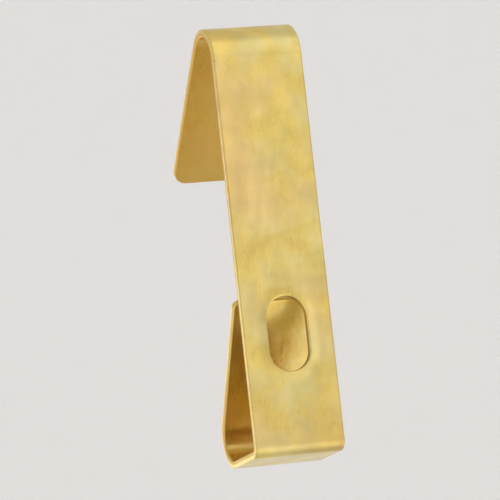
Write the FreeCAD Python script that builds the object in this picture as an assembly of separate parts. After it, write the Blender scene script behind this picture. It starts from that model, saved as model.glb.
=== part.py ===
import FreeCAD, Part

"""Conventional picture hook, bent from one strip of brass-plated steel.

All sizes are in millimetres and degrees. The hook stands as it does on a wall: the
wall face is the plane Y = 0, the hook reaches out along -Y, +Z is up, and the strip
is centred on X = 0. The origin is the middle of the wall face.

The strip is walked from the middle of its back plate. Upwards it turns out over the
top corner, round the knuckle and back down, which makes the loop that guides the
pin. Downwards it turns up again into the hook that carries the picture's wire.
"""

import math
import os

from FreeCAD import Vector

# Strip
strip_width = 6.35
strip_thickness = 0.55
edge_break = 0.06

# Back plate, from the sharp top corner to the underside of the hook
plate_height = 29.2

# Pin slot, punched through the back plate with round ends. The rim breaks where the
# punch went in.
slot_length = 5.1
slot_width = 2.85
slot_drop = 7.85
slot_rim_break = 0.1

# Pin loop: inside radii, and the angles between neighbouring legs
corner_radius = 0.3
corner_angle = 95.0
top_leg_reach = 8.6
knuckle_radius = 1.6
knuckle_angle = 52.0
loop_gap = 0.8
return_corner_round = 0.5

# Round hole where the pin goes in, through the knuckle
pin_hole_diameter = 2.3

# Hook: inside radius, the angle between plate and lip, and the lip's straight part
hook_radius = 1.9
hook_angle = 45.0
lip_length = 11.7
lip_corner_round = 1.0

# Everything below follows from the sizes above.
half_thickness = strip_thickness / 2
corner_bend = corner_radius + half_thickness
knuckle_bend = knuckle_radius + half_thickness
hook_bend = hook_radius + half_thickness
corner_turn = 180 - corner_angle
knuckle_turn = 180 - knuckle_angle
hook_turn = 180 - hook_angle
slot_z = plate_height / 2 - slot_drop


def toward(angle):
    """Unit vector in the side view: 0 is up, 90 is straight out from the wall."""
    turned = math.radians(angle)
    return Vector(0, -math.sin(turned), math.cos(turned))


def setback(radius, turn):
    """Distance from a sharp corner to the start of a bend of that radius and turn."""
    return radius * math.tan(math.radians(turn) / 2)


class Walk:
    """A point that walks along the middle of the strip and leaves both its sides behind."""

    def __init__(self, start, heading):
        self.point = start
        self.heading = heading
        self.edges = []

    def side(self, offset):
        """Point beside the walker, on its left for a positive offset."""
        return self.point + toward(self.heading + 90) * offset

    def run(self, length):
        """Straight part of the strip."""
        before = [self.side(half_thickness), self.side(-half_thickness)]
        self.point = self.point + toward(self.heading) * length
        after = [self.side(half_thickness), self.side(-half_thickness)]
        for first, last in zip(before, after):
            self.edges.append(Part.LineSegment(first, last).toShape())

    def bend(self, radius, turn):
        """Bend about a centre beside the strip, which is returned."""
        hand = math.copysign(1, turn)
        centre = self.side(hand * radius)
        for offset in (half_thickness, -half_thickness):
            reach = radius * hand - offset
            stops = [self.heading + turn * part for part in (0, 0.5, 1)]
            arc = [centre - toward(stop + 90) * reach for stop in stops]
            self.edges.append(Part.Arc(*arc).toShape())
        self.heading += turn
        self.point = centre - toward(self.heading + 90) * (hand * radius)
        return centre

    def end(self):
        """Square cut across the strip, with the walker's place as its middle."""
        cut = Part.LineSegment(self.side(half_thickness), self.side(-half_thickness))
        self.edges.append(cut.toShape())
        return self.point


def walk_loop():
    """Pin loop: up the plate, out, round the knuckle and back towards the plate."""
    walk = Walk(Vector(0, -half_thickness, 0), 0)
    corner_setback = setback(corner_bend, corner_turn)
    walk.run(plate_height / 2 - corner_setback)
    walk.bend(corner_bend, corner_turn)
    walk.run(top_leg_reach - corner_setback - setback(knuckle_bend, knuckle_turn))
    knuckle = walk.bend(knuckle_bend, knuckle_turn)
    slope = toward(walk.heading).y
    nearest = walk.side(half_thickness).y
    walk.run((-strip_thickness - loop_gap - nearest) / slope)
    tip = walk.end()
    return walk.edges, knuckle, tip


def walk_hook():
    """Hook: down the plate, round the seat and up the lip."""
    walk = Walk(Vector(0, -half_thickness, 0), 180)
    walk.run(plate_height / 2 - half_thickness - hook_bend)
    walk.bend(hook_bend, -hook_turn)
    walk.run(lip_length)
    tip = walk.end()
    return walk.edges, tip


def round_corners(solid, tip, radius):
    """Round the two corners of the strip's cut end at the tip."""
    corners = []
    for edge in solid.Edges:
        middle = edge.CenterOfMass
        beside = abs(abs(middle.x) - strip_width / 2) < 0.01
        at_tip = Vector(0, middle.y - tip.y, middle.z - tip.z).Length < 0.01
        if beside and at_tip:
            corners.append(edge)
    return solid.makeFillet(radius, corners)


def cut_edges(solid):
    """Edges where the strip's two broad sides meet its cut outline."""
    found = []
    for edge in solid.Edges:
        middle = edge.valueAt((edge.FirstParameter + edge.LastParameter) / 2)
        beside = abs(abs(middle.x) - strip_width / 2) < 0.01
        if beside and edge.Length > strip_thickness * 1.01:
            found.append(edge)
    return found


def pin_slot():
    """Slot cutter: a bar with round ends that passes right through the plate."""
    radius = slot_width / 2
    reach = (slot_length - slot_width) / 2
    front = -strip_thickness * 2
    depth = strip_thickness * 3
    cutter = Part.makeBox(slot_width, depth, reach * 2)
    cutter.translate(Vector(-radius, front, slot_z - reach))
    for z in (slot_z - reach, slot_z + reach):
        end = Part.makeCylinder(radius, depth, Vector(0, front, z), Vector(0, 1, 0))
        cutter = cutter.fuse(end)
    return cutter.removeSplitter()


def slot_rim(solid):
    """Edges round the slot on the wall face, where the punch went in."""
    found = []
    for edge in solid.Edges:
        middle = edge.valueAt((edge.FirstParameter + edge.LastParameter) / 2)
        on_wall = abs(middle.y) < 0.01
        across = abs(middle.x) < slot_width / 2 + 0.01
        along = abs(middle.z - slot_z) < slot_length / 2 + 0.01
        if on_wall and across and along:
            found.append(edge)
    return found


def pin_hole(knuckle):
    """Drill for the pin: from the knuckle's centre outwards, in line with the slot."""
    slot_centre = Vector(0, -half_thickness, slot_z)
    axis = (knuckle - slot_centre).normalize()
    length = knuckle_radius + strip_thickness * 3
    return Part.makeCylinder(pin_hole_diameter / 2, length, knuckle, axis)


def make_hook():
    """The whole bent strip with its slot and pin hole."""
    loop_edges, knuckle, return_tip = walk_loop()
    hook_edges, lip_tip = walk_hook()
    outline = Part.Wire(Part.__sortEdges__(loop_edges + hook_edges))
    strip = Part.Face(outline).extrude(Vector(strip_width, 0, 0))
    strip.translate(Vector(-strip_width / 2, 0, 0))
    strip = strip.removeSplitter()
    strip = round_corners(strip, return_tip, return_corner_round)
    strip = round_corners(strip, lip_tip, lip_corner_round)
    strip = strip.makeChamfer(edge_break, cut_edges(strip))
    strip = strip.cut(pin_slot())
    strip = strip.makeChamfer(slot_rim_break, slot_rim(strip))
    return strip.cut(pin_hole(knuckle)).Solids[0]


os.makedirs("parts", exist_ok=True)
hook = make_hook()
hook.exportStep("parts/picture_hook.step")
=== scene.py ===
"""Picture hook bent from brass-plated steel strip, dressed for its render.

Laid out as a Blender add-on and run as a script. Everything is in metres, in the frame
of the CAD part: +Z is up on the wall, +Y goes into the wall, and the hook reaches out
along -Y. "Out" below means the distance from the wall, so it is -Y.

The strip is worked out flat, as a blank with a place along it (s), a place across it
(x) and a depth in its thickness (n, positive on the side inside every bend). One
function then folds those three numbers round the bends.
"""

import math

import bmesh
import bpy
import numpy as np
from bpy.props import FloatProperty, FloatVectorProperty, PointerProperty
from mathutils import Matrix, Vector


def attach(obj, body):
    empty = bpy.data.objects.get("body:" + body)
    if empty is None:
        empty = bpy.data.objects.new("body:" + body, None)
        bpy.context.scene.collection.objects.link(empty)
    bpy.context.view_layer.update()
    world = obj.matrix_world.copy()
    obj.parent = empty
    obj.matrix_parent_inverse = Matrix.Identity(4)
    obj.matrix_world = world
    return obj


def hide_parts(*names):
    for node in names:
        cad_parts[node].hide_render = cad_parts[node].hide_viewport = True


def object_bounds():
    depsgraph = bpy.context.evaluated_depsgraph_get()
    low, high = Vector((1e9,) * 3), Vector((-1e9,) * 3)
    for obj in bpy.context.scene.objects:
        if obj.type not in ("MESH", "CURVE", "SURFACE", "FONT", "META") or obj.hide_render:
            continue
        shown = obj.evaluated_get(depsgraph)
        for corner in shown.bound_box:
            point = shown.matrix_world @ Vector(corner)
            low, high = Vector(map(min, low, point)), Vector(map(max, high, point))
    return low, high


bl_info = {
    "name": "Picture hook",
    "version": (1, 0, 0),
    "blender": (4, 5, 0),
    "location": "3D View > Sidebar > Picture hook",
    "description": "Builds a bent picture hook of brass-plated strip and its studio",
    "category": "Add Mesh",
}

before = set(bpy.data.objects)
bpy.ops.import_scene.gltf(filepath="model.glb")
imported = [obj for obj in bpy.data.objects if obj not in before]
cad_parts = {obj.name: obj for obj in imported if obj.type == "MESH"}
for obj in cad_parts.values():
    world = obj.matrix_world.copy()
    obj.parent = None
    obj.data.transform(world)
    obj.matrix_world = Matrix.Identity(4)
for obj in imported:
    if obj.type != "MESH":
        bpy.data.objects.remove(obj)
cad_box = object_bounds()

MM = 0.001

# Parts of the strip's path, counted from the lip's tip
LIP, PLATE, KNUCKLE, RETURN_LEG = 0, 2, 5, 6

# Patches of the blank: length at the cut ends, and margins round the two holes
END_PATCH = 2.5 * MM
SLOT_MARGIN = 1.5 * MM
PIN_MARGIN = 1.35 * MM
DRILL_REACH = 2.2 * MM

# Fineness of the strip's mesh, and how near two places are to be one
RUN_STEP = 0.5 * MM
BEND_STEP = math.radians(3)
FLAT_COLUMNS = 25
CURL_COLUMNS = 10
ROUND_STEPS = 5
WALL_STEPS = 4
END_ROWS = 14
HOLE_SIDES = 36
HOLE_RINGS = 16
DRILL_STEPS = 399
SAME_PLACE = 0.0001 * MM

# Floor in metres: flat part, radius of the sweep and top of the wall, then its fineness
FLOOR_FLAT, FLOOR_CURVE, FLOOR_TOP = 0.8, 0.35, 0.9
FLOOR_STEPS = 12
FLOOR_SIDES = 64

# Lamps: name, place and size in metres, power in watts
LAMPS = (
    ("window_lamp", (0.14, 0.42, -0.11), 0.18, 0.031),
    ("key_lamp", (0.20, 0.20, 0.24), 0.32, 0.22),
    ("rim_lamp", (0.045, 0.42, -0.03), 0.10, 0.030),
    ("low_lamp", (0.08, 0.14, -0.16), 0.18, 0.052),
    ("fill_lamp", (-0.32, 0.05, 0.10), 0.24, 0.11),
    ("front_lamp", (-0.14, -0.36, 0.05), 0.22, 0.12),
)


def linear(hex_colour):
    """Linear RGB from an sRGB hex value such as #dcc26e."""
    parts = [int(hex_colour[i:i + 2], 16) / 255 for i in (1, 3, 5)]
    return tuple(p / 12.92 if p <= 0.04045 else ((p + 0.055) / 1.055) ** 2.4 for p in parts)


def length(name, description, millimetres):
    """Length property with its default in millimetres."""
    return FloatProperty(name=name, description=description, default=millimetres * MM,
                         min=0.0, precision=5, unit="LENGTH")


def angle(name, description, degrees):
    """Angle property with its default in degrees."""
    return FloatProperty(name=name, description=description, default=math.radians(degrees),
                         min=0.0, max=math.pi, subtype="ANGLE")


def number(name, description, value):
    """Plain number property."""
    return FloatProperty(name=name, description=description, default=value, min=0.0)


def colour(name, description, hex_colour):
    """Colour property with its default as an sRGB hex value."""
    return FloatVectorProperty(name=name, description=description, subtype="COLOR", size=3,
                               min=0.0, max=1.0, default=linear(hex_colour))


class StripSizes(bpy.types.PropertyGroup):
    """Sizes of the bent strip: the CAD part's, but with rounded edges for its chamfers."""

    width: length("Strip width", "Across the strip", 6.35)
    thickness: length("Strip thickness", "Gauge of the strip", 0.55)
    edge_round: length("Edge round", "Radius that tumbling leaves on the cut edges", 0.12)
    plate_height: length("Plate height", "Sharp top corner to the hook's underside", 29.2)
    slot_length: length("Slot length", "End to end, along the strip", 5.1)
    slot_width: length("Slot width", "Across the slot", 2.85)
    slot_drop: length("Slot drop", "Top corner to the slot's middle", 7.85)
    corner_radius: length("Corner radius", "Inside the top corner", 0.3)
    corner_angle: angle("Corner angle", "Between the plate and the top leg", 95)
    top_leg_reach: length("Top leg reach", "Top corner to the knuckle's sharp corner", 8.6)
    knuckle_radius: length("Knuckle radius", "Inside the knuckle", 1.6)
    knuckle_angle: angle("Knuckle angle", "Between the top leg and the return leg", 52)
    loop_gap: length("Loop gap", "Return leg's end to the plate", 0.8)
    return_corner: length("Return corner", "Round on the return leg's end corners", 0.5)
    pin_hole: length("Pin hole", "Diameter of the round hole through the knuckle", 2.3)
    hook_radius: length("Hook radius", "Inside the hook's bend", 1.9)
    hook_angle: angle("Hook angle", "Between the plate and the lip", 45)
    lip_length: length("Lip length", "Straight part of the lip", 11.7)
    lip_corner: length("Lip corner", "Round on the lip's end corners", 1.0)
    slot_rim: length("Slot rim", "Rounding where the slot's punch went in", 0.12)
    slot_sink: length("Slot sink", "How deep the slot's punch drew its rim in", 0.05)
    sink_reach: length("Sink reach", "Width of the drawn-in face round the slot", 0.7)
    hole_rim: length("Hole rim", "Rounding where the pin hole's punch went in", 0.1)
    punch_exit: length("Punch exit", "Rounding where a punch came out", 0.03)


class PlatingLook(bpy.types.PropertyGroup):
    """Colours and finish of the brass plating, and the painted shade inside the hook."""

    brass: colour("Brass", "Main colour of the plating", "#dcc26e")
    pale: colour("Pale brass", "Where the plating leans to green", "#dbcc89")
    rosy: colour("Rosy brass", "Where the plating leans to copper", "#dcb677")
    # Painted shade: a redder, darker brass laid on the inner side of the hook and loop
    recess_shade: colour("Recessed brass", "Inside the hook, where it plates redder", "#dbab4c")
    tarnish: colour("Tarnish", "Brown film in pits and on torn walls", "#94702f")
    roughness: number("Roughness", "Gloss of the flat faces", 0.24)


class StageLook(bpy.types.PropertyGroup):
    """Floor, lamps and camera."""

    paper: colour("Paper", "Pale floor and backdrop", "#f1efed")
    paper_lift: number("Paper lift", "How much paler the camera and the metal see it", 0.1)
    floor_drop: length("Floor drop", "Hook's lowest point to the floor", 350)
    camera_side: angle("Camera side", "Camera's turn from square behind the plate", 18.5)
    camera_rise: angle("Camera rise", "Camera's height above level", 5)
    camera_roll: angle("Camera roll", "Lean of the upside-down view", 6.3)
    camera_distance: length("Camera distance", "Camera to the hook's middle", 240)
    lens: number("Lens", "Focal length in millimetres", 250.0)
    room_level: number("Room level", "Brightness of the room at eye level", 1.15)
    room_overhead: number("Room overhead", "Brightness of the room overhead", 0.6)


class StripPath:
    """Middle line of the strip in the side view, as runs and bends from the lip's tip.

    Each part has a length and a curvature, and turns by their product. A heading is
    measured from straight up towards out from the wall.
    """

    def __init__(self, sizes):
        half = sizes.thickness / 2
        hook, corner, knuckle = (r + half for r in (
            sizes.hook_radius, sizes.corner_radius, sizes.knuckle_radius))
        hook_turn, corner_turn, knuckle_turn = (math.pi - a for a in (
            sizes.hook_angle, sizes.corner_angle, sizes.knuckle_angle))
        corner_setback = corner * math.tan(corner_turn / 2)
        knuckle_setback = knuckle * math.tan(knuckle_turn / 2)
        plate = sizes.plate_height - half - hook - corner_setback
        top_leg = sizes.top_leg_reach - corner_setback - knuckle_setback
        lengths = [sizes.lip_length, hook * hook_turn, plate, corner * corner_turn,
                   top_leg, knuckle * knuckle_turn, 0.0]
        bends = [0.0, 1 / hook, 0.0, 1 / corner, 0.0, 1 / knuckle, 0.0]
        self.curvature = np.array(bends)
        self.place(lengths, -hook_turn)
        plate_start = np.array([half, half + hook - sizes.plate_height / 2])
        self.point += plate_start - self.point[PLATE]
        slope = math.sin(self.heading[RETURN_LEG])
        near_side = (self.point[RETURN_LEG, 0]
                     + half * math.cos(self.heading[RETURN_LEG]))
        return_leg = (sizes.thickness + sizes.loop_gap - near_side) / slope
        self.end = self.start[RETURN_LEG] + return_leg
        self.knuckle = self.point[KNUCKLE] + knuckle * self.inward(self.heading[KNUCKLE])

    def place(self, lengths, heading):
        """Start, heading and point of every part: each follows from the part before."""
        self.start = np.concatenate([[0.0], np.cumsum(lengths)[:-1]])
        turns = np.array(lengths) * self.curvature
        self.heading = heading + np.concatenate([[0.0], np.cumsum(turns)[:-1]])
        self.point = np.zeros((len(lengths), 2))
        for i in range(1, len(lengths)):
            self.point[i] = self.along(np.array([self.start[i]]), np.array([i - 1]))[0][0]

    @staticmethod
    def inward(heading):
        """Direction at right angles to a heading, towards the inside of the bends."""
        return np.stack([np.cos(heading), -np.sin(heading)], axis=-1)

    def along(self, s, part):
        """Points and headings at s. On a run the point moves along the heading; on a
        bend of curvature k it moves by the change of the heading's cosine and sine
        over k."""
        walked = s - self.start[part]
        first = self.heading[part]
        k = self.curvature[part]
        last = first + k * walked
        bent = np.abs(k) > 0
        safe = np.where(bent, k, 1.0)
        out = np.where(bent, (np.cos(first) - np.cos(last)) / safe, walked * np.sin(first))
        up = np.where(bent, (np.sin(last) - np.sin(first)) / safe, walked * np.cos(first))
        return self.point[part] + np.stack([out, up], axis=-1), last

    def part_at(self, s):
        """Number of the run or bend that s lies on."""
        part = np.searchsorted(self.start, s, side="right") - 1
        return np.clip(part, LIP, RETURN_LEG)

    def stretch(self, s, n):
        """How far bending stretched the metal at s and n: depth times curvature."""
        return -n * self.curvature[self.part_at(s)]

    def from_bend(self, s):
        """Distance along the strip to the nearest line where a bend starts or ends."""
        return np.abs(s[:, None] - self.start[1:]).min(axis=1)

    def side_view(self, s, n):
        """Out and up of the points at s along the strip and n deep in its thickness."""
        middle, heading = self.along(s, self.part_at(s))
        return middle + n[..., None] * self.inward(heading)

    def fold(self, blank):
        """Folds an array of (s, x, n) into (X, Y, Z): x stays, out becomes -Y."""
        s, x, n = blank[..., 0], blank[..., 1], blank[..., 2]
        view = self.side_view(s, n)
        return np.stack([x, -view[..., 0], view[..., 1]], axis=-1)


class Hole:
    """Round-ended hole in the blank, cut by a punch or drill of that outline.

    The punch goes in at negative n. There it draws the rim in by the sink, a share of
    the half thickness, and the face round it less and less as far as the reach.
    """

    def __init__(self, middle, radius, straight, entry, exit_round, sink=0.0, reach=1.0):
        self.middle = middle
        self.radius = radius
        self.straight = straight
        self.entry = entry
        self.exit = exit_round
        self.sink = sink
        self.reach = reach

    def rounding(self, n):
        """Rim's rounding on the side that n lies on."""
        return self.entry if n < 0 else self.exit

    def drawn_in(self, n, away=0.0):
        """Depth n drawn in: the sink falls with the square of the nearness to the rim."""
        if n > 0:
            return n
        return n * (1 - self.sink * np.clip(1 - away / self.reach, 0, 1)**2)

    def outline(self, ends, sides, widen):
        """Offsets (along, across) round the hole, widened by a small amount.

        It starts at the end's left shoulder and goes round in four quarters: over the
        far end, down the right side with its straight part, and both again turned
        half round.
        """
        radius = self.radius + widen
        over = 0.75 * math.pi - 0.5 * math.pi * np.arange(ends) / ends
        arc = radius * math.pi / 4
        walked = np.arange(sides) / sides * (2 * arc + 2 * self.straight)
        first = np.clip(walked, 0, arc)
        straight = np.clip(walked - arc, 0, 2 * self.straight)
        last = np.clip(walked - arc - 2 * self.straight, 0, arc)
        down = math.pi / 4 - (first + last) / radius
        shift = np.concatenate([np.full(ends, self.straight), self.straight - straight])
        turn = np.concatenate([over, down])
        half = np.stack([shift + radius * np.sin(turn), radius * np.cos(turn)], axis=-1)
        return np.concatenate([half, -half])

    def edge(self, ends, sides, widen, n):
        """The outline's places (s, x) on the strip, n deep in its thickness."""
        return self.outline(ends, sides, widen) + [self.middle, 0.0]


class DrilledHole(Hole):
    """Hole through a bend whose wall is one straight cylinder.

    The drill's line passes the bend's centre. A point of the rim lies where its offset
    from that line, seen from the side, meets the strip at that depth.
    """

    def __init__(self, path, line, radius, entry, exit_round):
        self.path = path
        self.across = np.array([line[1], -line[0]])
        bend = np.arctan2(line[1], -line[0])
        turned = (bend - path.heading[KNUCKLE]) / path.curvature[KNUCKLE]
        super().__init__(path.start[KNUCKLE] + turned, radius, 0.0, entry, exit_round)

    def edge(self, ends, sides, widen, n):
        outline = self.outline(ends, sides, widen)
        s = self.middle + np.linspace(-DRILL_REACH, DRILL_REACH, DRILL_STEPS + 1)
        seen = self.path.side_view(s, np.full(s.shape, n)) - self.path.knuckle
        outline[:, 0] = np.interp(outline[:, 0], seen @ self.across, s)
        return outline


class Blank:
    """Closed surface of the flat blank, gathered patch by patch as (s, x, n).

    A patch is a grid of two parameters. Patches meet on the same numbers, so that
    merging equal places closes the surface.
    """

    def __init__(self, sizes, path):
        self.sizes = sizes
        self.path = path
        self.half = sizes.thickness / 2
        self.side = sizes.width / 2 - sizes.edge_round
        self.grids = []
        zone = sizes.lip_corner - sizes.edge_round
        flat = np.linspace(zone - self.side, self.side - zone, FLAT_COLUMNS)
        quarter = np.linspace(0, math.pi / 2, CURL_COLUMNS + 1)[1:]
        curl = self.side - zone + zone * np.sin(quarter)
        self.x = np.concatenate([-curl[::-1], flat, curl])

    def lines(self, first, last):
        """Places along the strip from first to last, closer together on the bends."""
        stops = [first, *[s for s in self.path.start[1:] if first < s < last], last]
        places = [np.array([first])]
        for a, b in zip(stops, stops[1:]):
            part = np.searchsorted(self.path.start, (a + b) / 2) - 1
            bend = self.path.curvature[part]
            step = BEND_STEP / bend if bend else RUN_STEP
            count = max(2, math.ceil((b - a) / step))
            places.append(np.linspace(a, b, count + 1)[1:])
        return np.concatenate(places)

    def levels(self, top, bottom):
        """How a wall runs from one face to the other, as (growth, depth) pairs.

        A quarter round of the top radius, a straight wall, and a quarter round of the
        bottom radius. Growth is 0 on the straight wall and negative on the rounds.
        """
        quarter = np.linspace(0, math.pi / 2, ROUND_STEPS + 1)
        wall = np.linspace(self.half - top, bottom - self.half, WALL_STEPS + 1)[1:-1]
        growth = np.concatenate([top * (np.sin(quarter) - 1), 0 * wall,
                                 bottom * (np.cos(quarter) - 1)])
        depth = np.concatenate([self.half - top + top * np.cos(quarter), wall,
                                bottom - self.half - bottom * np.sin(quarter)])
        return np.stack([growth, depth], axis=-1)

    def add(self, places, closed=False):
        """Keeps a grid of (s, x, n, cut), closed if its last column meets its first."""
        if closed:
            places = np.concatenate([places, places[:, :1]], axis=1)
        self.grids.append(places)

    def add_faces(self, flat, closed=False):
        """The same grid of (s, x) on both broad faces."""
        for n in (self.half, -self.half):
            self.add(with_depth(flat, n, 0.0), closed)

    def add_wall(self, edge, outward):
        """Cut wall along an edge of (s, x), with the directions that point off it."""
        rounding = self.sizes.edge_round
        rows = []
        for growth, n in self.levels(rounding, rounding):
            moved = edge + outward * (growth + rounding)
            rows.append(with_depth(moved, n, 1 + growth / rounding))
        self.add(np.stack(rows))

    def add_sides(self, grid):
        """Walls along the two long edges of a patch whose columns run across."""
        for column, way in ((0, -1.0), (-1, 1.0)):
            edge = grid[:, column]
            self.add_wall(edge, np.tile([0.0, way], (len(edge), 1)))

    def add_band(self, first, last):
        """Plain patch from first to last along the strip, edge to edge."""
        s, x = np.meshgrid(self.lines(first, last), self.x, indexing="ij")
        grid = np.stack([s, x], axis=-1)
        self.add_faces(grid)
        self.add_sides(grid)

    def add_end(self, start, tip, corner):
        """Patch from start to the strip's cut end, whose two corners are rounded.

        Each line across stands between start and the end's outline: the outline draws
        back near the sides by the corner circle's sagitta there.
        """
        radius = corner - self.sizes.edge_round
        way = math.copysign(1, tip - start)
        edge = tip - way * self.sizes.edge_round
        beyond = np.clip(np.abs(self.x) - (self.side - radius), 0, radius)
        outline = edge - way * (radius - np.sqrt(radius**2 - beyond**2))
        share = (1 - np.cos(np.linspace(0, math.pi, END_ROWS + 1))) / 2
        s = start + share[:, None] * (outline - start)
        grid = np.stack([s, np.broadcast_to(self.x, s.shape)], axis=-1)
        self.add_faces(grid)
        self.add_sides(grid)
        core_x = np.clip(self.x, radius - self.side, self.side - radius)
        core = np.stack([np.full(self.x.shape, edge - way * radius), core_x], axis=-1)
        self.add_wall(grid[-1], (grid[-1] - core) / radius)

    def add_holed(self, hole, margin):
        """Patch with a hole: rings that open from the hole's rim to the patch's edge."""
        reach = hole.straight + hole.radius + margin
        sides, ends = HOLE_SIDES, len(self.x) - 1
        low, high = hole.middle - reach, hole.middle + reach
        down = np.linspace(high, low, sides + 1)[:-1]
        back = np.linspace(low, high, sides + 1)[:-1]
        top = np.stack([np.full(ends, high), self.x[:-1]], axis=-1)
        right = np.stack([down, np.full(sides, self.side)], axis=-1)
        bottom = np.stack([np.full(ends, low), self.x[:0:-1]], axis=-1)
        left = np.stack([back, np.full(sides, -self.side)], axis=-1)
        frame_line = np.concatenate([top, right, bottom, left])
        turn = np.linspace(0, math.pi, HOLE_RINGS + 1)
        share = (1 - np.cos(turn))[:, None, None] / 2
        for n in (self.half, -self.half):
            rim = hole.edge(ends, sides, hole.rounding(n), n)
            away = share * (frame_line - rim)
            face = with_depth(rim + away, n, 0.0)
            face[..., 2] = hole.drawn_in(n, np.linalg.norm(away, axis=-1))
            self.add(face, closed=True)
        for first, way in ((ends, 1.0), (2 * ends + sides, -1.0)):
            edge = np.concatenate([frame_line, frame_line[:1]])[first:first + sides + 1]
            self.add_wall(edge, np.tile([0.0, way], (len(edge), 1)))
        rows = []
        for growth, n in self.levels(hole.exit, hole.entry):
            cut = 1 + growth / hole.rounding(n)
            edge = hole.edge(ends, sides, -growth, n)
            rows.append(with_depth(edge, hole.drawn_in(n), cut))
        self.add(np.stack(rows), closed=True)
        return low, high

    def surface(self):
        """Merged places, their shares of cut wall, and the four-sided faces."""
        corners, faces, first = [], [], 0
        for grid in self.grids:
            rows, columns = grid.shape[:2]
            index = first + np.arange(rows * columns).reshape(rows, columns)
            square = [index[:-1, :-1], index[:-1, 1:], index[1:, 1:], index[1:, :-1]]
            faces.append(np.stack(square, axis=-1).reshape(-1, 4))
            corners.append(grid.reshape(-1, 4))
            first += rows * columns
        corners = np.concatenate(corners)
        keys = np.round(corners[:, :3] / SAME_PLACE).astype(np.int64)
        _, kept, merged = np.unique(keys, axis=0, return_index=True, return_inverse=True)
        faces = merged.reshape(-1)[np.concatenate(faces)]
        return corners[kept, :3], corners[kept, 3], faces


def with_depth(flat, n, cut):
    """Adds the depth n and the share of cut wall to an array of (s, x)."""
    extra = np.broadcast_to([n, cut], flat.shape[:-1] + (2,))
    return np.concatenate([flat, extra], axis=-1)


def pin_line(sizes, path):
    """Direction (out, up) from the slot's middle to the knuckle's centre."""
    slot = np.array([sizes.thickness / 2, sizes.plate_height / 2 - sizes.slot_drop])
    line = path.knuckle - slot
    return line / np.linalg.norm(line)


def hook_blank(sizes, path):
    """The whole blank: two ends, two holed patches, and plain bands between them."""
    blank = Blank(sizes, path)
    slot_z = sizes.plate_height / 2 - sizes.slot_drop
    slot_s = path.start[PLATE] + slot_z - path.point[PLATE, 1]
    straight = (sizes.slot_length - sizes.slot_width) / 2
    sink = sizes.slot_sink / (sizes.thickness / 2)
    slot = Hole(slot_s, sizes.slot_width / 2, straight, sizes.slot_rim, sizes.punch_exit,
                sink, sizes.sink_reach)
    pin = DrilledHole(path, pin_line(sizes, path), sizes.pin_hole / 2,
                      sizes.hole_rim, sizes.punch_exit)
    return_start = path.end - END_PATCH
    blank.add_end(END_PATCH, 0.0, sizes.lip_corner)
    slot_low, slot_high = blank.add_holed(slot, SLOT_MARGIN)
    pin_low, pin_high = blank.add_holed(pin, PIN_MARGIN)
    blank.add_band(END_PATCH, slot_low)
    blank.add_band(slot_high, pin_low)
    blank.add_band(pin_high, return_start)
    blank.add_end(return_start, path.end, sizes.return_corner)
    return blank


def make_mesh(name, points, faces):
    """Closed mesh from whole arrays, smooth, with its faces turned outwards."""
    mesh = bpy.data.meshes.new(name)
    mesh.from_pydata(points.tolist(), [], faces.tolist())
    loose = bmesh.new()
    loose.from_mesh(mesh)
    bmesh.ops.recalc_face_normals(loose, faces=loose.faces)
    open_edges = sum(not edge.is_manifold for edge in loose.edges)
    loose.to_mesh(mesh)
    loose.free()
    if open_edges:
        raise ValueError(f"{name} has {open_edges} open edges")
    mesh.shade_smooth()
    return mesh


def add_node(tree, kind, settings=None, inputs=None):
    """Adds a node, sets its settings, and fills its inputs with values or links."""
    node = tree.nodes.new(kind)
    for key, value in (settings or {}).items():
        setattr(node, key, value)
    for key, value in (inputs or {}).items():
        if isinstance(value, bpy.types.NodeSocket):
            tree.links.new(value, node.inputs[key])
        else:
            node.inputs[key].default_value = value
    return node


def new_material(name):
    """Empty node material and its tree."""
    material = bpy.data.materials.new(name)
    material.use_nodes = True
    material.node_tree.nodes.clear()
    return material, material.node_tree


def attribute(tree, name, output="Fac"):
    """Value that the mesh carries at every point under a name."""
    return add_node(tree, "ShaderNodeAttribute", {"attribute_name": name}).outputs[output]


def noise(tree, vector, size, detail, roughness=0.5):
    """Noise with features about one size across."""
    return add_node(tree, "ShaderNodeTexNoise", None, {
        "Vector": vector, "Scale": 1 / size, "Detail": detail,
        "Roughness": roughness}).outputs["Fac"]


def ramp(tree, value, low, high, first=0.0, last=1.0, smooth=False):
    """Turns low to high into first to last, and holds the value beyond both."""
    kind = "SMOOTHSTEP" if smooth else "LINEAR"
    return add_node(tree, "ShaderNodeMapRange", {"interpolation_type": kind}, {
        "Value": value, "From Min": low, "From Max": high,
        "To Min": first, "To Max": last}).outputs[0]


def maths(tree, operation, *values):
    """Result of one operation on values or links."""
    return add_node(tree, "ShaderNodeMath", {"operation": operation},
                    dict(enumerate(values))).outputs[0]


def blend(tree, share, first, second):
    """Colour that goes from the first to the second with the share."""
    return add_node(tree, "ShaderNodeMix", {"data_type": "RGBA"}, {
        0: share, 6: first, 7: second}).outputs[2]


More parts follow.
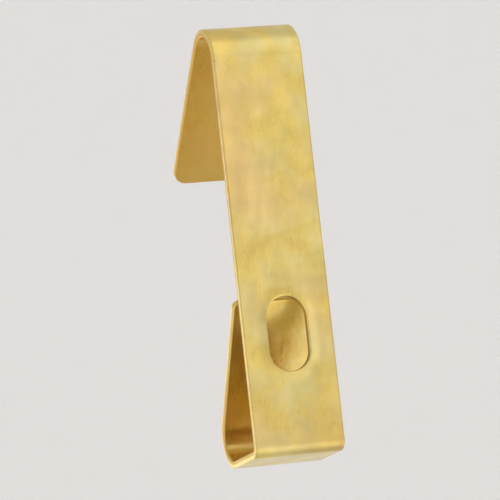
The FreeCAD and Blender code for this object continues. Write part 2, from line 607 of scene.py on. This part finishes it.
def brass_colour(tree, look, space, along, depth, clouds):
    """Colour of the plating before its wear, with painted shade inside the hook and loop."""
    # Colour clouds 3 mm across, leaning to green, and 6 mm across, leaning to copper
    drift = noise(tree, space, 6 * MM, 2.0)
    to_pale = ramp(tree, clouds, 0.42, 0.62)
    to_rosy = ramp(tree, drift, 0.48, 0.70, 0.0, 0.7)
    body = blend(tree, to_pale, (*look.brass, 1.0), (*look.pale, 1.0))
    body = blend(tree, to_rosy, body, (*look.rosy, 1.0))

    # Shade clouds 2 mm across
    shade = ramp(tree, noise(tree, space, 2 * MM, 2.0), 0.3, 0.7, 0.90, 1.10)
    body = add_node(tree, "ShaderNodeVectorMath", {"operation": "SCALE"}, {
        0: body, 3: shade}).outputs[0]

    # Painted shade: redder, darker brass on the inner side of the hook, fading out up the
    # plate, and a little of the same inside the loop
    inner = ramp(tree, depth, -0.1 * MM, 0.1 * MM)
    hooked = ramp(tree, along, 14 * MM, 26 * MM, 0.75, 0.0, smooth=True)
    looped = ramp(tree, along, 36 * MM, 46 * MM, 0.0, 0.25, smooth=True)
    redder = maths(tree, "MULTIPLY", inner, maths(tree, "ADD", hooked, looped))
    return blend(tree, redder, body, (*look.recess_shade, 1.0))


def scratches(tree, place):
    """Straight scratches 1 to 3 mm long, 0.02 mm wide but drawn 0.05 mm wide, two ways."""
    scratch = 0.0
    for turn, offset in ((34, 0.0), (-52, 0.05)):
        slanted = add_node(tree, "ShaderNodeMapping", {"vector_type": "TEXTURE"}, {
            "Vector": place, "Location": (offset, 0.0, 0.0),
            "Rotation": (0.0, 0.0, math.radians(turn)),
            "Scale": (2.6 * MM, 0.16 * MM, 0.3 * MM)}).outputs[0]
        streaks = noise(tree, slanted, 1.0, 1.0, 0.4)
        streak = ramp(tree, streaks, 0.70, 0.78, smooth=True)
        scratch = maths(tree, "ADD", streak, scratch)
    return scratch


def brass_plating(look):
    """Brass plated in a barrel on a punched and bent strip of cold-rolled steel.

    The plating copies the strip below it. The eye sees fine rolling lines along the
    strip, soft clouds where the plating leans to green or copper or is paler or
    darker, painted shade that makes the inside of the hook redder and darker, shallow
    dents and straight scratches from tumbling, a few pits, haze where a bend stretched
    the metal, and cut walls that are half smooth and half torn.
    """
    material, tree = new_material("brass_plating_on_rolled_steel")
    place = attribute(tree, "blank", "Vector")
    cut = attribute(tree, "cut")
    flat = add_node(tree, "ShaderNodeSeparateXYZ", None, {0: place}).outputs
    along, depth = flat["X"], flat["Z"]
    space = add_node(tree, "ShaderNodeTexCoord").outputs["Object"]
    clouds = noise(tree, space, 3 * MM, 3.0)
    body = brass_colour(tree, look, space, along, depth, clouds)
    scratch = scratches(tree, place)

    # Rolling lines 0.05 mm apart along the strip, drawn 0.1 mm apart so that they show
    rolled = add_node(tree, "ShaderNodeMapping", {"vector_type": "TEXTURE"}, {
        "Vector": place, "Scale": (9 * MM, 0.1 * MM, 0.3 * MM)}).outputs[0]
    lines = noise(tree, rolled, 1.0, 3.0, 0.6)

    # Shallow dents 0.8 mm across from tumbling
    knocks = noise(tree, space, 0.8 * MM, 1.0)

    # Pits up to 0.1 mm wide and uneven, a few to the square centimetre
    frayed = noise(tree, space, 0.12 * MM, 1.0)
    cells = add_node(tree, "ShaderNodeTexVoronoi", None, {
        "Vector": space, "Scale": 1 / (2.2 * MM)}).outputs["Distance"]
    rim = maths(tree, "MULTIPLY_ADD", frayed, 0.05, cells)
    pit = ramp(tree, rim, 0.035, 0.065, 0.8, 0.0, smooth=True)

    # Faint line where the shoulder of the forming tool pressed, on the outer side
    shoulder = ramp(tree, attribute(tree, "from_bend"), 0.0, 0.2 * MM, 1.0, 0.0, smooth=True)
    witness = maths(tree, "MULTIPLY", shoulder, maths(tree, "LESS_THAN", depth, 0.0))

    # Cut walls: smooth where the punch slid by, torn in the half where the metal broke
    ragged = noise(tree, space, 0.25 * MM, 2.0)
    line = maths(tree, "MULTIPLY_ADD", ragged, 0.12 * MM, depth)
    torn = maths(tree, "MULTIPLY", ramp(tree, line, 0.03 * MM, 0.07 * MM), cut)
    grain = maths(tree, "MULTIPLY", noise(tree, space, 0.09 * MM, 2.0), torn)

    # Haze on the outer side of the bends, none on the inner side that the tool pressed
    haze = ramp(tree, attribute(tree, "stretch"), 0.0, 0.35)

    # Brown film in the pits and on the torn walls
    film = add_node(tree, "ShaderNodeMath", {"operation": "MULTIPLY_ADD", "use_clamp": True}, {
        0: grain, 1: 0.25, 2: pit}).outputs[0]
    body = blend(tree, maths(tree, "MULTIPLY", film, 0.6), body, (*look.tarnish, 1.0))

    # What dulls the metal, and by how much
    rough = maths(tree, "MULTIPLY_ADD", lines, 0.10, look.roughness - 0.05)
    for share, gain in ((clouds, 0.10), (scratch, 0.10), (grain, 0.16), (torn, 0.15),
                        (haze, 0.18), (witness, -0.05)):
        rough = maths(tree, "MULTIPLY_ADD", share, gain, rough)

    # What rises or sinks: its height, how strongly it shows, and its full rise
    relief = None
    for height, strength, rise in ((clouds, 1.0, 0.07 * MM), (knocks, 1.0, 0.014 * MM),
                                   (lines, 0.25, 0.004 * MM), (scratch, 0.6, -0.003 * MM),
                                   (witness, 0.5, -0.004 * MM),
                                   (grain, 0.6, 0.012 * MM)):
        inputs = {"Strength": strength, "Distance": rise, "Height": height}
        if relief:
            inputs["Normal"] = relief
        relief = add_node(tree, "ShaderNodeBump", None, inputs).outputs[0]
    shader = add_node(tree, "ShaderNodeBsdfPrincipled", None, {
        "Base Color": body, "Metallic": 1.0, "Roughness": rough, "Normal": relief})
    add_node(tree, "ShaderNodeOutputMaterial", None, {"Surface": shader.outputs[0]})
    return material


def matt_paper(look):
    """Matt studio paper: smooth, without a sheen, so it only shows soft shadows.

    The camera and the hook's gloss see it a little paler than it lights the hook.
    """
    material, tree = new_material("matt_studio_paper")
    space = add_node(tree, "ShaderNodeTexCoord").outputs["Object"]
    relief = add_node(tree, "ShaderNodeBump", None, {
        "Strength": 0.05, "Distance": 0.02 * MM,
        "Height": noise(tree, space, 0.8 * MM, 2.0)}).outputs[0]
    paper = add_node(tree, "ShaderNodeBsdfPrincipled", None, {
        "Base Color": (*look.paper, 1.0), "Roughness": 0.9, "Normal": relief}).outputs[0]
    rays = add_node(tree, "ShaderNodeLightPath").outputs
    seen = maths(tree, "ADD", rays["Is Camera Ray"], rays["Is Glossy Ray"])
    lift = maths(tree, "MULTIPLY", seen, look.paper_lift)
    glow = add_node(tree, "ShaderNodeEmission", None, {"Strength": lift}).outputs[0]
    both = add_node(tree, "ShaderNodeAddShader", None, {0: paper, 1: glow}).outputs[0]
    add_node(tree, "ShaderNodeOutputMaterial", None, {"Surface": both})
    return material


class PICTUREHOOK_OT_strip(bpy.types.Operator):
    """Build the bent strip with its slot and pin hole, plated"""

    bl_idname = "picture_hook.strip"
    bl_label = "Bent strip"
    bl_options = {"REGISTER", "UNDO"}

    def execute(self, context):
        sizes = context.scene.picture_hook_sizes
        path = StripPath(sizes)
        places, cut, faces = hook_blank(sizes, path).surface()
        mesh = make_mesh("bent_strip", path.fold(places), faces)
        flat = mesh.attributes.new("blank", "FLOAT_VECTOR", "POINT")
        flat.data.foreach_set("vector", places.astype(np.float32).ravel())
        shares = {"cut": cut, "stretch": path.stretch(places[:, 0], places[:, 2]),
                  "from_bend": path.from_bend(places[:, 0])}
        for name, share in shares.items():
            layer = mesh.attributes.new(name, "FLOAT", "POINT")
            layer.data.foreach_set("value", share.astype(np.float32))
        hook = bpy.data.objects.new("bent_strip", mesh)
        context.scene.collection.objects.link(hook)
        mesh.materials.append(brass_plating(context.scene.picture_hook_plating))
        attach(hook, "root")
        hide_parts("picture_hook")
        return {"FINISHED"}


def add_floor(look):
    """Pale round floor that sweeps up into a wall on all sides.

    The section is flat, then a quarter circle, then upright: the height is the circle's
    versine of the angle turned. It is carried round the Z axis.
    """
    turn = np.linspace(0, math.pi / 2, FLOOR_STEPS + 1)
    reach = np.concatenate([[0.0, FLOOR_FLAT / 2], FLOOR_FLAT + FLOOR_CURVE * np.sin(turn),
                            [FLOOR_FLAT + FLOOR_CURVE]])
    height = np.concatenate([[0.0, 0.0], FLOOR_CURVE * (1 - np.cos(turn)), [FLOOR_TOP]])
    around = np.linspace(0, 2 * math.pi, FLOOR_SIDES + 1)[:-1]
    z = np.broadcast_to(height[:, None], (len(height), len(around)))
    places = np.stack([reach[:, None] * np.cos(around), reach[:, None] * np.sin(around),
                       z + cad_box[0][2] - look.floor_drop], axis=-1)
    index = np.arange(z.size).reshape(z.shape)
    index = np.concatenate([index, index[:, :1]], axis=1)
    square = [index[:-1, :-1], index[1:, :-1], index[1:, 1:], index[:-1, 1:]]
    faces = np.stack(square, axis=-1)
    inner = faces[0][:, [0, 1, 2]]
    mesh = bpy.data.meshes.new("floor")
    mesh.from_pydata(places.reshape(-1, 3).tolist(), [],
                     inner.tolist() + faces[1:].reshape(-1, 4).tolist())
    mesh.shade_smooth()
    floor = bpy.data.objects.new("floor", mesh)
    bpy.context.scene.collection.objects.link(floor)
    mesh.materials.append(matt_paper(look))


def add_lamp(name, place, size, power):
    """Square soft lamp at a place, turned to the hook and hidden from the camera."""
    lamp = bpy.data.lights.new(name, "AREA")
    lamp.size = size
    lamp.energy = power
    holder = bpy.data.objects.new(name, lamp)
    holder.location = place
    holder.visible_camera = False
    holder.rotation_euler = (-Vector(place)).to_track_quat("-Z", "Y").to_euler()
    bpy.context.scene.collection.objects.link(holder)


def add_camera(look):
    """Camera behind the plate, upside down, as the hook stands in the photograph."""
    side, rise = look.camera_side, look.camera_rise
    away = Vector((-math.sin(side) * math.cos(rise), math.cos(side) * math.cos(rise),
                   math.sin(rise)))
    middle = Vector([(a + b) / 2 for a, b in zip(*cad_box)])
    right = (-away).cross(Vector((0, 0, -1))).normalized()
    up = right.cross(-away)
    facing = Matrix((right, up, away)).transposed()
    facing = Matrix.Rotation(-look.camera_roll, 3, away) @ facing
    data = bpy.data.cameras.new("camera")
    data.lens = look.lens
    data.clip_start = 5 * MM
    camera = bpy.data.objects.new("camera", data)
    place = Matrix.Translation(middle + away * look.camera_distance)
    camera.matrix_world = place @ facing.to_4x4()
    bpy.context.scene.collection.objects.link(camera)
    bpy.context.scene.camera = camera


def light_room(scene, look):
    """Pale room, greyer overhead, so that upright and level faces differ on the metal."""
    world = bpy.data.worlds.new("pale_room")
    world.use_nodes = True
    tree = world.node_tree
    tree.nodes.clear()
    ray = add_node(tree, "ShaderNodeTexCoord").outputs["Generated"]
    height = add_node(tree, "ShaderNodeSeparateXYZ", None, {0: ray}).outputs["Z"]
    level = ramp(tree, height, 0.3, 1.0, look.room_level, look.room_overhead, smooth=True)
    wall = add_node(tree, "ShaderNodeBackground", None, {
        "Color": (1.0, 1.0, 1.0, 1.0), "Strength": level})
    add_node(tree, "ShaderNodeOutputWorld", None, {"Surface": wall.outputs[0]})
    scene.world = world


class PICTUREHOOK_OT_stage(bpy.types.Operator):
    """Build the floor, lamps, room and camera"""

    bl_idname = "picture_hook.stage"
    bl_label = "Studio"
    bl_options = {"REGISTER", "UNDO"}

    def execute(self, context):
        look = context.scene.picture_hook_stage
        add_floor(look)
        for lamp in LAMPS:
            add_lamp(*lamp)
        light_room(context.scene, look)
        add_camera(look)
        context.scene.view_settings.view_transform = "Standard"
        return {"FINISHED"}


class PICTUREHOOK_PT_panel(bpy.types.Panel):
    """Lists the hook's builders and sizes in the sidebar"""

    bl_idname = "PICTUREHOOK_PT_panel"
    bl_label = "Picture hook"
    bl_space_type = "VIEW_3D"
    bl_region_type = "UI"
    bl_category = "Picture hook"

    def draw(self, context):
        layout = self.layout
        for operator in OPERATORS:
            layout.operator(operator.bl_idname)
        for group in ("picture_hook_sizes", "picture_hook_plating", "picture_hook_stage"):
            settings = getattr(context.scene, group)
            column = layout.column(align=True)
            for name in settings.bl_rna.properties.keys():
                if name not in ("rna_type", "name"):
                    column.prop(settings, name)


GROUPS = {
    "picture_hook_sizes": StripSizes,
    "picture_hook_plating": PlatingLook,
    "picture_hook_stage": StageLook,
}
OPERATORS = (PICTUREHOOK_OT_strip, PICTUREHOOK_OT_stage)


def register():
    for name, group in GROUPS.items():
        bpy.utils.register_class(group)
        setattr(bpy.types.Scene, name, PointerProperty(type=group))
    for cls in (*OPERATORS, PICTUREHOOK_PT_panel):
        bpy.utils.register_class(cls)


def unregister():
    for cls in (PICTUREHOOK_PT_panel, *reversed(OPERATORS)):
        bpy.utils.unregister_class(cls)
    for name, group in reversed(GROUPS.items()):
        delattr(bpy.types.Scene, name)
        bpy.utils.unregister_class(group)


def main():
    register()
    bpy.ops.picture_hook.strip()
    bpy.ops.picture_hook.stage()


if __name__ == "__main__":
    main()
